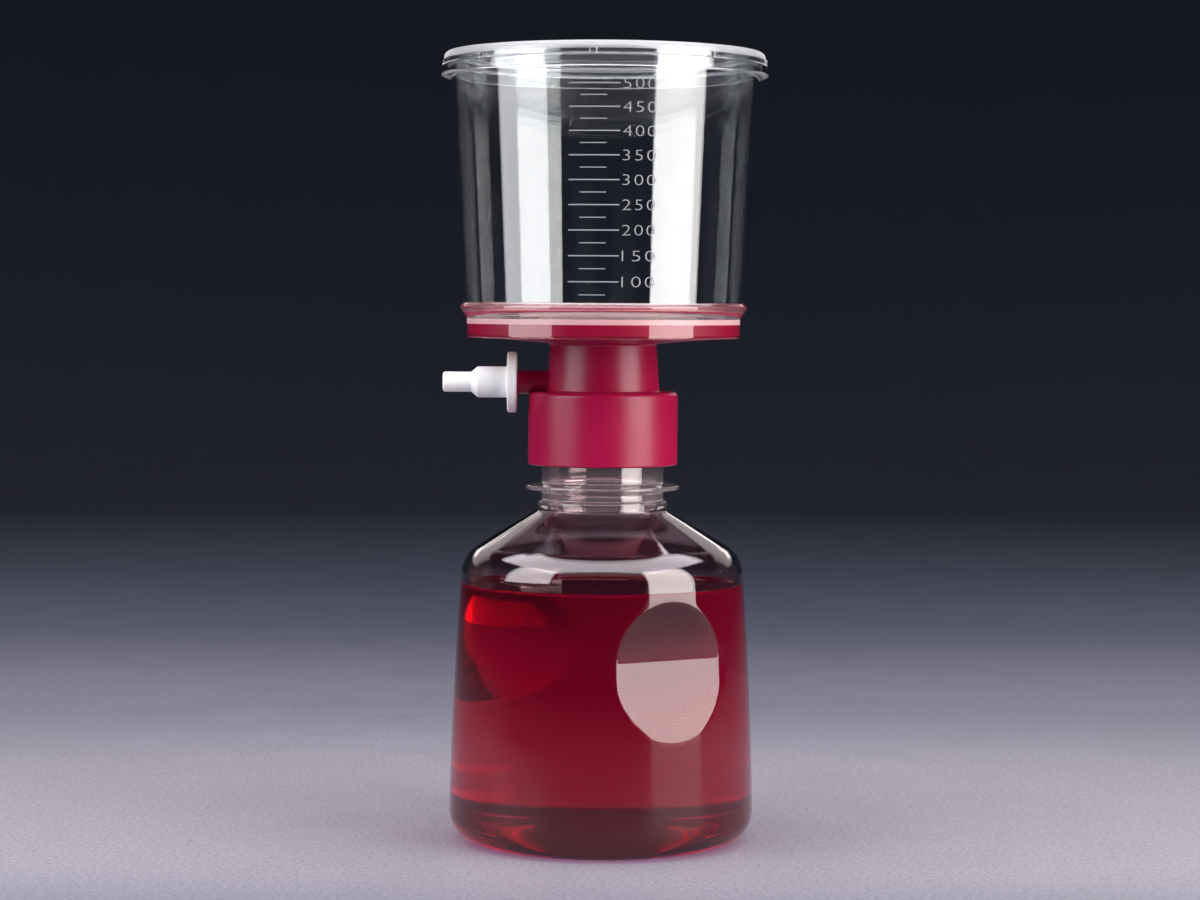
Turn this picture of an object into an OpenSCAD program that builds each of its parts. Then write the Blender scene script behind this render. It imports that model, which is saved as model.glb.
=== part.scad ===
// Vacuum filtration unit, 500 mL size: a lidded upper chamber on a filter base that screws on to a
// receiver bottle. Millimetres, +Z up. The origin is the centre of the bottle's foot, the sidearm points
// along -X and -Y is the front.

/* [Receiver bottle] */
// Radius of the body at its widest ring, just above the foot
body_r = 48.1; // [46:0.1:60]
// Height of that widest ring
body_low_z = 13; // [12:0.5:20]
// How much the body has drawn in half way up, where its taper steepens
body_mid_in = 1.1; // [0.5:0.1:2]
// Height of that half-way ring
body_mid_z = 45; // [40:1:52]
// How much the body has drawn in where the shoulder starts
body_top_in = 4.0; // [2:0.1:6]
// Height of the corner between body and shoulder
shoulder_z = 90.5; // [86:0.5:120]
// Radius of the rounding between body and shoulder
shoulder_round = 11; // [6:0.5:12]
// Slope of the shoulder above the horizontal, in degrees
shoulder_slope = 31; // [20:1:40]
// Radius of the rounding between body and foot
foot_round = 9.5; // [5:0.5:10]
// Width of the flat ring that the bottle stands on
foot_w = 2.2; // [1.5:0.1:4]
// How far the middle of the domed bottom is pushed up
push_up = 6; // [2:0.5:8]
// Wall thickness of the body and shoulder
bottle_wall = 1.7; // [1:0.1:2.5]

/* [Grip dents] */
// Azimuth of the front dent, measured from the front towards +X, in degrees
grip_angle = 28.5; // [0:0.5:60]
// Height of the deepest line of each dent
grip_z = 61.5; // [55:0.5:64]
// Depth of each dent below the body's surface at that line
grip_depth = 3.8; // [2:0.1:5]
// Radius of the dent's vertical curve
grip_curve = 59; // [40:1:80]

/* [Neck] */
// Outer radius of the neck
neck_r = 19.3; // [17:0.1:24]
// Wall thickness of the neck
neck_wall = 2.0; // [1.6:0.1:3]
// Height of the neck from the shoulder to its lip
neck_h = 32.9; // [30:0.1:45]
// Radius of the rounding between shoulder and neck, on the inside
neck_blend = 4; // [2:0.5:6]
// How far the ring at the neck's root stands out
root_ring_out = 1.2; // [0.5:0.1:2]
// Height of that ring
root_ring_h = 2.4; // [1.6:0.1:4]
// How far the transfer flange stands out of the neck
flange_out = 5.1; // [3:0.1:7]
// Height of the flange's middle above the neck's root
flange_rise = 6.6; // [5:0.1:8]
// Thickness of the flange at its edge
flange_edge_t = 1.2; // [0.8:0.1:2]
// Thickness of the flange at the neck
flange_root_t = 2.8; // [2:0.1:3.4]

/* [Screw thread] */
// Room that the ridges of the screw thread take outside the neck's wall
thread_depth = 1.9; // [1.2:0.1:2.2]
// Radial clearance between the neck's ridges and the collar's wall
thread_gap = 0.45; // [0.35:0.05:0.8]

/* [Filtrate] */
// Height of the liquid's surface
fill_z = 80.5; // [60:0.5:82]
// Gap between the liquid and the bottle's wall
fill_gap = 0.1; // [0.05:0.05:0.3]

/* [Neck gasket] */
// Thickness of the sealing ring
gasket_t = 1.6; // [1:0.1:2.5]
// How far the ring reaches inside the neck's lip
gasket_in = 0.4; // [0:0.1:1]

/* [Filter base] */
// Wall thickness of the screw collar
collar_wall = 1.95; // [1.5:0.05:3]
// Height of the collar
collar_h = 23.1; // [20:0.1:24]
// Radius of the rounding on the collar's top edge
collar_round = 1.6; // [0.5:0.1:1.8]
// Thickness of the ledge that closes the collar above the neck
ledge_t = 2.2; // [1.5:0.1:3]
// Outer radius of the stem at the collar
stem_low_r = 17.85; // [16.5:0.05:19]
// Outer radius of the stem under the plate
stem_top_r = 16.7; // [15.5:0.05:18]
// Wall thickness of the stem
stem_wall = 2.0; // [1.4:0.1:3]
// Height of the stem from the collar's top to the plate
stem_h = 15.1; // [12:0.1:30]
// Outer radius of the drip spout inside the stem
spout_r = 5.6; // [4.4:0.1:6.5]
// Wall thickness of the drip spout
spout_wall = 1.4; // [1:0.1:1.8]
// How far the spout's tip hangs below the ledge
spout_drop = 12; // [6:0.5:16]
// Outer radius of the plate
plate_r = 41.4; // [40:0.1:52]
// Thickness of the plate
plate_t = 1.8; // [1.4:0.1:2.5]
// How much lower the plate is at the stem than at its rim
plate_fall = 2.1; // [1:0.1:3]
// Width of the upright rim round the plate
rim_w = 2.0; // [1.5:0.1:3]
// How far the rim rises above the membrane
rim_rise = 1.8; // [1:0.1:3]
// How far the shelf under the support plate reaches inside the chamber's clamp ring
shelf_lap = 0.7; // [0.3:0.1:1.5]
// Number of drain ribs on the plate
drain_ribs = 12; // [6:1:18]
// Width of each drain rib
drain_rib_w = 1.3; // [1:0.1:2]
// Gap between the drain and the inner ends of the ribs
drain_gap = 1.4; // [0.8:0.1:3]
// Width of the chamfer that leads the neck into the collar
lead_in = 0.8; // [0.4:0.1:1.2]

/* [Sidearm] */
// Outer radius of the sidearm
arm_r = 3.7; // [3:0.1:4.5]
// Radius of the bore through the sidearm and its spigot
arm_bore_r = 1.8; // [1.2:0.1:2]
// Height of the sidearm's axis above the collar's top
arm_rise = 2.8; // [2:0.1:4]
// Distance from the collar's outside to the shoulder that the adapter seats on
arm_out = 3.6; // [2.5:0.1:6]
// Radius of the spigot that the adapter is pushed on to
spigot_r = 2.9; // [2.4:0.1:2.95]
// Length of the spigot
spigot_l = 8; // [6:0.5:9]

/* [Hose adapter] */
// Radius of the adapter's flange
adapter_flange_r = 9.6; // [8:0.1:12]
// Thickness of the flange
adapter_flange_t = 3.0; // [2:0.1:4]
// Radius of the wide step, for 3/8 inch tubing
step_wide_r = 4.9; // [4.6:0.1:5.5]
// Length of the wide step
step_wide_l = 9.4; // [9:0.1:12]
// Length of the cone between the two steps
step_cone_l = 2.0; // [1:0.1:3]
// Radius of the narrow step, for 1/4 inch tubing
step_narrow_r = 3.175; // [2.8:0.025:3.6]
// Length of the narrow step
step_narrow_l = 9.0; // [7:0.1:12]
// Radius of the air bore through the narrow step
tip_bore_r = 1.9; // [1.4:0.1:2.2]
// Radial clearance between the spigot and the adapter's socket
socket_gap = 0.05; // [0.03:0.01:0.1]
// Length of the cotton plug in the socket
plug_l = 3.6; // [2.5:0.1:4.2]
// Clearance at each end of the plug
plug_gap = 0.1; // [0.05:0.05:0.3]

/* [Support plate and membrane] */
// Thickness of the perforated support plate
support_t = 1.5; // [1:0.1:2]
// Number of rings of holes in it
hole_rings = 5; // [3:1:5]
// Distance between the rings of holes
hole_ring_step = 6.4; // [5.6:0.1:6.4]
// Radius of each hole
hole_r = 1.3; // [0.8:0.1:1.6]
// Thickness of the membrane
membrane_t = 0.3; // [0.2:0.05:0.5]
// Clearance between these discs and the rim round them
disc_gap = 0.3; // [0.2:0.05:0.5]

/* [Upper chamber] */
// Height of the bowl from the plate's rim to its own rim
bowl_h = 82.3; // [60:0.1:100]
// How far the bowl's outer radius grows from bottom to top
bowl_flare = 4.2; // [2:0.1:6]
// Wall thickness of the bowl
bowl_wall = 1.3; // [1:0.1:2]
// Wall thickness of the skirt round the filter base
skirt_wall = 1.4; // [1.1:0.1:2]
// Clearance between the skirt and the filter base
skirt_gap = 0.25; // [0.15:0.05:0.4]
// How far the skirt hangs below the edge of the filter base's plate
skirt_drop = 0.3; // [0.1:0.1:1]
// How far the step's underside lies above the top of the groove for the filter base's rim
step_lift = 0.3; // [0:0.1:1]
// Height of the step between the skirt and the stacking bead
step_h = 2.4; // [1.5:0.1:4]
// How far the step stands out of the skirt
step_out = 1.6; // [1.2:0.1:2.5]
// Height of the stacking bead
bead_h = 1.9; // [1.4:0.1:3]
// How far the bead stands out of the step
bead_out = 0.7; // [0.4:0.1:1.2]
// Thickness of the chamber's floor over the filter base's rim
floor_t = 1.6; // [1.2:0.1:2.4]
// Radius of the rounding between the chamber's floor and its wall
bowl_blend = 3; // [1:0.5:4]
// How far the bowl's foot stands in from the step
bowl_inset = 0.3; // [0.1:0.1:0.8]
// Width of the ring that clamps the membrane
clamp_w = 1.9; // [1.4:0.1:2.5]
// How far the bowl's rim stands out
rim_out = 0.5; // [0.3:0.1:1]
// Height of that rim
rim_bead_h = 2.2; // [1.5:0.1:3]

/* [Lid] */
// Thickness of the lid's top
lid_t = 1.5; // [1:0.1:2.5]
// Depth of the lid's skirt below the top's underside
lid_skirt_h = 6.2; // [5:0.1:9]
// Wall thickness of the skirt
lid_wall = 1.05; // [0.9:0.05:1.8]
// Clearance between the lid and the bowl's rim
lid_gap = 0.35; // [0.3:0.05:1]
// Radius of the rounding round the lid's top
lid_round = 1.9; // [1:0.1:2.4]
// Height of the bead round the bottom of the skirt
lid_bead_h = 3.6; // [2.5:0.1:5]
// How far that bead stands out
lid_bead_out = 0.95; // [0.5:0.05:1.5]
// Number of small ribs in the groove above the bead
lid_ribs = 8; // [4:1:16]
// Azimuth of the front rib, from the front towards -X, in degrees
lid_rib_angle = 4; // [0:1:45]
// Width of each of those ribs
lid_rib_w = 2.0; // [1:0.1:3]
// Height of each of those ribs above the bead
lid_rib_h = 1.8; // [1:0.1:2]
// How far each of those ribs stands out of the groove
lid_rib_out = 0.55; // [0.3:0.05:0.9]
// Height of the locating ring inside the bowl
lid_ring_h = 2.6; // [1.5:0.1:4]
// Thickness of the locating ring
lid_ring_w = 1.1; // [0.8:0.1:1.6]

/* [Hidden] */
$fn = 180;

// Roundings of the moulded edges: thin walls, most edges, and the larger ones
crisp = 0.3;
soft = 0.6;
full = 0.8;
// Overlap that makes two shapes one solid
bite = 0.4;
// How far a cut runs past the face that it opens
over = 1;

body_mid_r = body_r - body_mid_in;
body_top_r = body_r - body_top_in;

// Levels of the stack, from the table up
root_z = shoulder_z + (body_top_r - neck_r) * tan(shoulder_slope);
lip_z = root_z + neck_h;
ledge_z = lip_z + gasket_t;
collar_top_z = ledge_z + ledge_t;
collar_z = collar_top_z - collar_h;
stem_top_z = collar_top_z + stem_h;
plate_edge_z = stem_top_z + plate_fall;
shelf_z = plate_edge_z + plate_t;
support_z = shelf_z + support_t;
membrane_z = support_z + membrane_t;
arm_z = collar_top_z + arm_rise;

// Radii that fit one piece to the next
thread_r = neck_r + thread_depth;
collar_in_r = thread_r + thread_gap;
collar_r = collar_in_r + collar_wall;
arm_reach = collar_r + arm_out;
neck_in_r = neck_r - neck_wall;
socket_r = spigot_r + socket_gap;
disc_r = plate_r - rim_w - disc_gap;
spout_bore_r = spout_r - spout_wall;

// The chamber, from its skirt up
skirt_in_r = plate_r + skirt_gap;
skirt_r = skirt_in_r + skirt_wall;
clamp_in_r = disc_r - clamp_w;
rim_top_z = membrane_z + rim_rise;
groove_z = rim_top_z + skirt_gap;
step_z = groove_z + step_lift;
skirt_z = plate_edge_z - skirt_drop;
bead_z = step_z + step_h;
wall_z = bead_z + bead_h;
step_r = skirt_r + step_out;
bead_r = step_r + bead_out;
bowl_low_r = step_r - bowl_inset;
bowl_top_r = bowl_low_r + bowl_flare;
bowl_top_z = rim_top_z + bowl_h;
bowl_rim_r = bowl_top_r + rim_out;

// The lid, from the bowl's rim up
lid_in_r = bowl_rim_r + lid_gap;
lid_r = lid_in_r + lid_wall;
lid_top_z = bowl_top_z + lid_t;
lid_skirt_z = bowl_top_z - lid_skirt_h;
lid_ring_r = bowl_top_r - bowl_wall - lid_gap;

function flat(p) = [p[0], p[1]];
function unit(v) = v / norm(v);
function turned(v) = [-v[1], v[0]];

// The two tangent points and the circle's centre at corner i of outline p, whose third number is the
// corner's radius
function fillet(p, i) =
    let (
        n = len(p),
        b = flat(p[i]),
        u = unit(flat(p[(i + n - 1) % n]) - b),
        v = unit(flat(p[(i + 1) % n]) - b),
        half = acos(u * v) / 2
    )
    [b + u * p[i][2] / tan(half), b + v * p[i][2] / tan(half), b + unit(u + v) * p[i][2] / sin(half)];

// Whether corner i of a counter-clockwise outline is convex
function convex(p, i) =
    let (n = len(p), b = flat(p[i]))
    cross(b - flat(p[(i + n - 1) % n]), flat(p[(i + 1) % n]) - b) > 0;

// A counter-clockwise outline of [radius, height, rounding] corners: each rounded corner is cut back to
// its two tangent points, and a true circle then fills it or hollows it
module outline(p) {
    difference() {
        union() {
            polygon([for (i = [0 : len(p) - 1])
                each p[i][2] > 0 ? [fillet(p, i)[0], fillet(p, i)[1]] : [flat(p[i])]]);
            for (i = [0 : len(p) - 1]) if (p[i][2] > 0 && convex(p, i))
                translate(fillet(p, i)[2]) circle(p[i][2]);
        }
        for (i = [0 : len(p) - 1]) if (p[i][2] > 0 && !convex(p, i))
            translate(fillet(p, i)[2]) circle(p[i][2]);
    }
}

module revolve(p) {
    rotate_extrude() outline(p);
}

// Outer radius of the body at height z: the parabola through its three given radii
function body_radius(z) =
    let (
        p = (body_mid_r - body_r) / (body_mid_z - body_low_z),
        q = (body_top_r - body_mid_r) / (shoulder_z - body_mid_z)
    )
    body_r + (z - body_low_z) * (p + (q - p) * (z - body_mid_z) / (shoulder_z - body_low_z));

// The bottle's outline from the middle of its foot to its neck's lip, as [radius, height, rounding] corners.
// The pushed-up bottom is a shallow dome that ends at the flat ring.
body_bands = 8;
foot_in_r = body_r - foot_round - foot_w;
dome_reach = 0.48;
dome_r = dome_reach * foot_in_r / tan(atan2(push_up, foot_in_r / 2) / 2);
bottle_path = [
    [0, push_up, 0],
    [foot_in_r / 2, push_up, dome_r],
    [foot_in_r, 0, full],
    [body_r, 0, foot_round],
    for (i = [0 : body_bands - 1]) let (z = body_low_z + (shoulder_z - body_low_z) * i / body_bands)
        [body_radius(z), z, 0],
    [body_top_r, shoulder_z, shoulder_round],
    [neck_r, root_z, 0],
    [neck_r, lip_z, crisp],
];

// The outline moved inwards: segment i of the path by walls[i], and each rounding by the wall before it
function inset(path, walls) = [for (i = [0 : len(path) - 1])
    let (
        b = flat(path[i]),
        before = max(i - 1, 0),
        after = min(i, len(path) - 2),
        m = turned(unit(flat(path[before + 1]) - flat(path[before]))),
        n = turned(unit(flat(path[after + 1]) - flat(path[after]))),
        s = walls[before],
        t = walls[after],
        c = m * n,
        bend = cross(m, n),
        corner = abs(bend) < 1e-6 ? b + t * n : b + (s * (m - c * n) + t * (n - c * m)) / (1 - c * c)
    )
    concat(corner, path[i][2] == 0 ? 0 : max(0, path[i][2] - sign(bend) * s))];

// The hollow inside the bottle, smaller all round by gap, up to height top
module hollow(gap, top) {
    wall = bottle_wall + gap;
    last = len(bottle_path) - 1;
    path = inset(bottle_path, [for (i = [0 : last - 1]) i == last - 1 ? neck_wall + gap : wall]);
    inner = [for (i = [0 : last - 1]) i == last - 1 ? concat(flat(path[i]), neck_blend) : path[i]];
    difference() {
        intersection() {
            revolve(concat(inner, [[neck_in_r - gap, lip_z + over, 0], [0, lip_z + over, 0]]));
            cylinder(r = body_r, h = top);
        }
        dents(wall);
    }
}

// Two opposite dents for finger and thumb. Each is the side of a level cylinder that dips into the body,
// and the wall's inner face follows it at distance t.
module dents(t) {
    for (a = [0, 180]) rotate(grip_angle + a)
        translate([0, -(body_radius(grip_z) - grip_depth + grip_curve), grip_z])
            rotate([0, 90, 0]) cylinder(r = grip_curve + t, h = 2 * body_r, center = true);
}

module receiver_bottle() {
    flange_z = root_z + flange_rise;
    flange_edge_r = neck_r + flange_out - flange_edge_t / 2;
    ring_r = neck_r + root_ring_out;
    ring_z = root_z - root_ring_out * tan(shoulder_slope) - bite;
    color([0.86, 0.9, 0.92, 0.35]) difference() {
        rotate_extrude() {
            outline(concat(bottle_path, [[0, lip_z, 0]]));
            // Ring at the root of the neck
            outline([[neck_r - bite, ring_z, 0], [ring_r, ring_z, 0], [ring_r, root_z + root_ring_h, full],
                [neck_r - bite, root_z + root_ring_h, 0]]);
            // Transfer flange, thinner towards its rounded edge
            translate([flange_edge_r, flange_z]) circle(flange_edge_t / 2);
            polygon([[neck_r - bite, flange_z - flange_root_t / 2],
                [flange_edge_r, flange_z - flange_edge_t / 2],
                [flange_edge_r, flange_z + flange_edge_t / 2],
                [neck_r - bite, flange_z + flange_root_t / 2]]);
        }
        dents(0);
        hollow(0, lip_z + over);
    }
}

module filtrate() {
    color([0.45, 0.0, 0.05, 0.9]) hollow(fill_gap, fill_z);
}

module neck_gasket() {
    color("white") revolve([[neck_in_r - gasket_in, lip_z, crisp], [thread_r, lip_z, crisp],
        [thread_r, ledge_z, crisp], [neck_in_r - gasket_in, ledge_z, crisp]]);
}

// Height of the underside of the filter base's plate at radius r
function plate_under(r) = stem_top_z + plate_fall * (r - stem_top_r) / (plate_r - stem_top_r);

module filter_base() {
    rim_in_r = plate_r - rim_w;
    shelf_in_r = clamp_in_r - shelf_lap;
    roof_z = plate_under(spout_r);
    floor_mid_z = roof_z + plate_t;
    rib_in_r = spout_r + drain_gap;
    tip_z = ledge_z - spout_drop;
    stem_low_in = stem_low_r - stem_wall;
    stem_top_in = stem_top_r - stem_wall;
    color([0.62, 0.0, 0.19]) {
        difference() {
            union() {
                revolve([[0, collar_z, 0], [collar_r, collar_z, soft],
                    [collar_r, collar_top_z, collar_round], [stem_low_r, collar_top_z, soft],
                    [stem_top_r, stem_top_z, full],
                    [plate_r, plate_edge_z, full],
                    [plate_r, rim_top_z, crisp], [rim_in_r, rim_top_z, crisp], [rim_in_r, shelf_z, 0],
                    [shelf_in_r, shelf_z, 0], [shelf_in_r, plate_under(shelf_in_r) + plate_t, 0],
                    [spout_r, floor_mid_z, 0], [0, floor_mid_z, 0]]);
                // Sidearm, with the spigot that carries the hose adapter
                translate([0, 0, arm_z]) rotate([0, -90, 0]) {
                    cylinder(r = arm_r, h = arm_reach);
                    revolve([[0, arm_reach - bite, 0], [spigot_r, arm_reach - bite, 0],
                        [spigot_r, arm_reach + spigot_l, crisp], [0, arm_reach + spigot_l, 0]]);
                }
                // Drain ribs that carry the support plate, standing on the sloping floor
                intersection() {
                    revolve([[rib_in_r, plate_under(rib_in_r) + bite, 0],
                        [shelf_in_r + bite, plate_under(shelf_in_r) + bite, 0],
                        [shelf_in_r + bite, shelf_z, 0], [rib_in_r, shelf_z, 0]]);
                    for (i = [0 : drain_ribs - 1]) rotate((i + 0.5) * 360 / drain_ribs)
                        translate([0, -drain_rib_w / 2, stem_top_z - plate_fall])
                            cube([plate_r, drain_rib_w, shelf_z]);
                }
            }
            // Socket for the bottle's neck, and the hollow stem above it
            revolve([[0, collar_z - over, 0], [collar_in_r + lead_in + over, collar_z - over, 0],
                [collar_in_r, collar_z + lead_in, 0], [collar_in_r, ledge_z, 0], [stem_low_in, ledge_z, 0],
                [stem_low_in, collar_top_z, 0], [stem_top_in, roof_z, full], [0, roof_z, 0]]);
            translate([0, 0, arm_z]) rotate([0, -90, 0])
                cylinder(r = arm_bore_r, h = arm_reach + spigot_l + over);
            cylinder(r = spout_bore_r, h = shelf_z);
        }
        // Drip spout, from the drain in the floor down into the neck
        revolve([[spout_bore_r, tip_z, 0], [spout_r, tip_z, crisp], [spout_r, roof_z + bite, 0],
            [spout_bore_r, roof_z + bite, 0]]);
    }
}

// Its middle, over the drip spout, is the moulding's gate and has no hole
module support_plate() {
    color("white") difference() {
        translate([0, 0, shelf_z]) cylinder(r = disc_r, h = support_t);
        for (ring = [1 : hole_rings]) for (i = [1 : 6 * ring]) rotate(i * 60 / ring)
            translate([ring * hole_ring_step, 0, shelf_z - over])
                cylinder(r = hole_r, h = support_t + 2 * over);
    }
}

module membrane() {
    color([0.97, 0.96, 0.93]) translate([0, 0, support_z]) cylinder(r = disc_r, h = membrane_t);
}

module upper_chamber() {
    color([0.86, 0.9, 0.92, 0.35]) difference() {
        // Skirt, step, stacking bead and flared bowl
        revolve([[0, skirt_z, 0], [skirt_r, skirt_z, soft], [skirt_r, step_z, crisp],
            [step_r, step_z, soft], [step_r, bead_z, crisp], [bead_r, bead_z, crisp],
            [bead_r, wall_z, soft], [bowl_low_r, wall_z, soft],
            [bowl_top_r, bowl_top_z - rim_bead_h, crisp], [bowl_rim_r, bowl_top_z - rim_bead_h, crisp],
            [bowl_rim_r, bowl_top_z, crisp], [0, bowl_top_z, 0]]);
        // Inside of the bowl, whose floor slopes down to the clamp ring
        revolve([[0, skirt_z - over, 0], [clamp_in_r, skirt_z - over, 0],
            [clamp_in_r, groove_z + floor_t, full],
            [bowl_low_r - bowl_wall, wall_z, bowl_blend], [bowl_top_r - bowl_wall, bowl_top_z, 0],
            [bowl_top_r - bowl_wall, bowl_top_z + over, 0], [0, bowl_top_z + over, 0]]);
        // Room for the filter base's plate, its rim and the discs that it holds
        translate([0, 0, skirt_z - over]) cylinder(r = disc_r + bite, h = membrane_z - skirt_z + over);
        rotate_extrude() translate([disc_r, skirt_z - over])
            square([skirt_in_r - disc_r, groove_z - skirt_z + over]);
    }
}

module lid() {
    bead_top_z = lid_skirt_z + lid_bead_h;
    color([0.9, 0.92, 0.93, 0.4]) {
        difference() {
            revolve([[0, lid_skirt_z, 0], [lid_r + lid_bead_out, lid_skirt_z, soft],
                [lid_r + lid_bead_out, bead_top_z, soft], [lid_r, bead_top_z, crisp],
                [lid_r, lid_top_z, lid_round], [0, lid_top_z, 0]]);
            revolve([[0, lid_skirt_z - over, 0], [lid_in_r, lid_skirt_z - over, 0],
                [lid_in_r, bowl_top_z, crisp], [0, bowl_top_z, 0]]);
        }
        // Ring that centres the lid in the bowl
        revolve([[lid_ring_r - lid_ring_w, bowl_top_z - lid_ring_h, crisp],
            [lid_ring_r, bowl_top_z - lid_ring_h, crisp], [lid_ring_r, bowl_top_z + bite, 0],
            [lid_ring_r - lid_ring_w, bowl_top_z + bite, 0]]);
        // Small ribs across the groove above the bead
        for (i = [0 : lid_ribs - 1]) rotate(-lid_rib_angle - 90 + i * 360 / lid_ribs)
            translate([lid_r - bite, -lid_rib_w / 2, bead_top_z - bite])
                cube([lid_rib_out + bite, lid_rib_w, lid_rib_h + bite]);
    }
}

module hose_adapter() {
    wide_z = adapter_flange_t + step_wide_l;
    narrow_z = wide_z + step_cone_l;
    end_z = narrow_z + step_narrow_l;
    socket_l = spigot_l + plug_l + 2 * plug_gap;
    color("white") translate([-arm_reach, 0, arm_z]) rotate([0, -90, 0]) difference() {
        revolve([[0, 0, 0], [adapter_flange_r, 0, soft], [adapter_flange_r, adapter_flange_t, soft],
            [step_wide_r, adapter_flange_t, soft], [step_wide_r, wide_z, full],
            [step_narrow_r, narrow_z, full], [step_narrow_r, end_z, full], [0, end_z, 0]]);
        revolve([[0, -over, 0], [socket_r, -over, 0], [socket_r, socket_l, soft],
            [tip_bore_r, socket_l, 0], [tip_bore_r, end_z + over, 0], [0, end_z + over, 0]]);
    }
}

module cotton_plug() {
    color("ivory") translate([-arm_reach - spigot_l - plug_gap, 0, arm_z]) rotate([0, -90, 0])
        revolve([[0, 0, 0], [spigot_r, 0, full], [spigot_r, plug_l, full], [0, plug_l, 0]]);
}

receiver_bottle();
filtrate();
neck_gasket();
filter_base();
support_plate();
membrane();
upper_chamber();
lid();
hose_adapter();
cotton_plug();
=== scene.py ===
"""The finish of a 500 mL vacuum filtration unit: its clear mouldings, filtrate, threads, scale and stage.

Each clear moulding is a surface of two parameters, the distance along an outline and the angle round the
axis, which numpy works out as whole arrays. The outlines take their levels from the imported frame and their
sizes from the property groups below.
"""

import math

import bpy
import numpy as np
from bpy.props import FloatProperty, FloatVectorProperty, IntProperty, PointerProperty
from mathutils import Matrix, Vector


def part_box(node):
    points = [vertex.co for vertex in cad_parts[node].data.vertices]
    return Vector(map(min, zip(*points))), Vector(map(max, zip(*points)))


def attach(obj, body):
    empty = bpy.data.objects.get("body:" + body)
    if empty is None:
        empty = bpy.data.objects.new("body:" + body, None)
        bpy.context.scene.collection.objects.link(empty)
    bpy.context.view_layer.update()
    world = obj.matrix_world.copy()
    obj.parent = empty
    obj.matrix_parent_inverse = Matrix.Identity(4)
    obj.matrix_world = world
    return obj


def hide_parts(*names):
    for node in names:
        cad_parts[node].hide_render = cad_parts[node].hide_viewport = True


bl_info = {
    "name": "Vacuum Filtration Unit",
    "version": (1, 0, 0),
    "blender": (4, 5, 0),
    "location": "3D View > Sidebar > Filtration",
    "description": "Makes the clear mouldings, filtrate, threads, scale and studio of a filtration unit",
    "category": "Object",
}

MM = 0.001
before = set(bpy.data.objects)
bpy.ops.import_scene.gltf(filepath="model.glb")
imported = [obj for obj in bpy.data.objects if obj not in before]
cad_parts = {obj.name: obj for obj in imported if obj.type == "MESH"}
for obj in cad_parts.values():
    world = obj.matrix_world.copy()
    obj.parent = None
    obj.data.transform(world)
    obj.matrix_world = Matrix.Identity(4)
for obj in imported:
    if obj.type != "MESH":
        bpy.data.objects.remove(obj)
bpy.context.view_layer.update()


# Sizes and colours


def length(name, description, millimetres):
    """A distance that a user may change, in metres, given here in millimetres."""
    default = millimetres * MM
    return FloatProperty(
        name=name, description=description, default=default, unit="LENGTH", subtype="DISTANCE", precision=5
    )


def angle(name, description, degrees):
    default = math.radians(degrees)
    return FloatProperty(
        name=name, description=description, default=default, unit="ROTATION", subtype="ANGLE"
    )


def colour(name, description, *default):
    return FloatVectorProperty(
        name=name, description=description, default=default, size=3, min=0, max=1, subtype="COLOR"
    )


class BottleSizes(bpy.types.PropertyGroup):
    body_r: length("Body radius", "Radius of the body at its widest ring", 48.1)
    body_low_z: length("Widest height", "Height of the widest ring", 13)
    body_mid_in: length("Middle draw", "How much the body has drawn in half way up", 1.1)
    body_mid_z: length("Middle height", "Height of the half-way ring", 45)
    body_top_in: length("Top draw", "How much the body has drawn in at the shoulder", 4)
    shoulder_z: length("Shoulder height", "Height of the corner between body and shoulder", 90.5)
    shoulder_round: length("Shoulder rounding", "Radius between body and shoulder", 11)
    shoulder_slope: angle("Shoulder slope", "Slope of the shoulder above the horizontal", 31)
    foot_round: length("Foot rounding", "Radius between body and foot", 9.5)
    foot_w: length("Foot width", "Width of the flat ring that the bottle stands on", 2.2)
    push_up: length("Push-up", "How far the middle of the domed bottom is pushed up", 6)
    wall: length("Wall", "Wall thickness of body and shoulder", 1.7)
    grip_angle: angle("Dent azimuth", "Azimuth of the front dent, from the front", 28.5)
    grip_z: length("Dent height", "Height of the deepest line of each dent", 61.5)
    grip_reach: length("Dent reach", "Distance from that line up to the top of each dent", 20.5)
    grip_depth: length("Dent depth", "Depth of each dent at that line", 3.8)
    grip_curve: length("Dent curve", "Radius of the dent's vertical curve", 59)
    grip_soft: length("Dent edge", "Width over which the dent's edge is rounded", 0.35)
    neck_r: length("Neck radius", "Outer radius of the neck", 19.3)
    neck_wall: length("Neck wall", "Wall thickness of the neck", 2)
    neck_blend: length("Neck blend", "Radius inside, between shoulder and neck", 4)
    ring_out: length("Root ring", "How far the ring at the neck's root stands out", 1.2)
    ring_h: length("Root ring height", "Height of that ring", 2.4)
    flange_out: length("Flange", "How far the transfer flange stands out", 5.1)
    flange_rise: length("Flange height", "Height of the flange above the neck's root", 6.6)
    flange_edge_t: length("Flange edge", "Thickness of the flange at its edge", 1.2)
    flange_root_t: length("Flange root", "Thickness of the flange at the neck", 2.8)


class ThreadSizes(bpy.types.PropertyGroup):
    pitch: length("Pitch", "Rise of the thread in one turn", 4.23)
    depth: length("Depth", "How far the ridge stands out", 1.9)
    root_w: length("Root width", "Width of the ridge at its root", 1.8)
    crest_w: length("Crest width", "Width of the ridge at its crest", 0.9)
    below_lip: length("Below the lip", "Distance from the neck's lip to the top of the ridge", 4.5)
    turns: FloatProperty(
        name="Turns", description="Length of the ridge in turns", default=1.5, min=0.5, max=3
    )
    fade: angle("Run-out", "Angle over which each end of the ridge runs out", 30)
    play: length("Play", "Axial clearance between the neck's ridge and the collar's", 0.2)
    sunk: length("Sunk", "How deep the collar's ridge is sunk into its wall", 0.4)
    collar_in_r: length("Collar bore", "Inner radius of the collar", 21.65)


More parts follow.
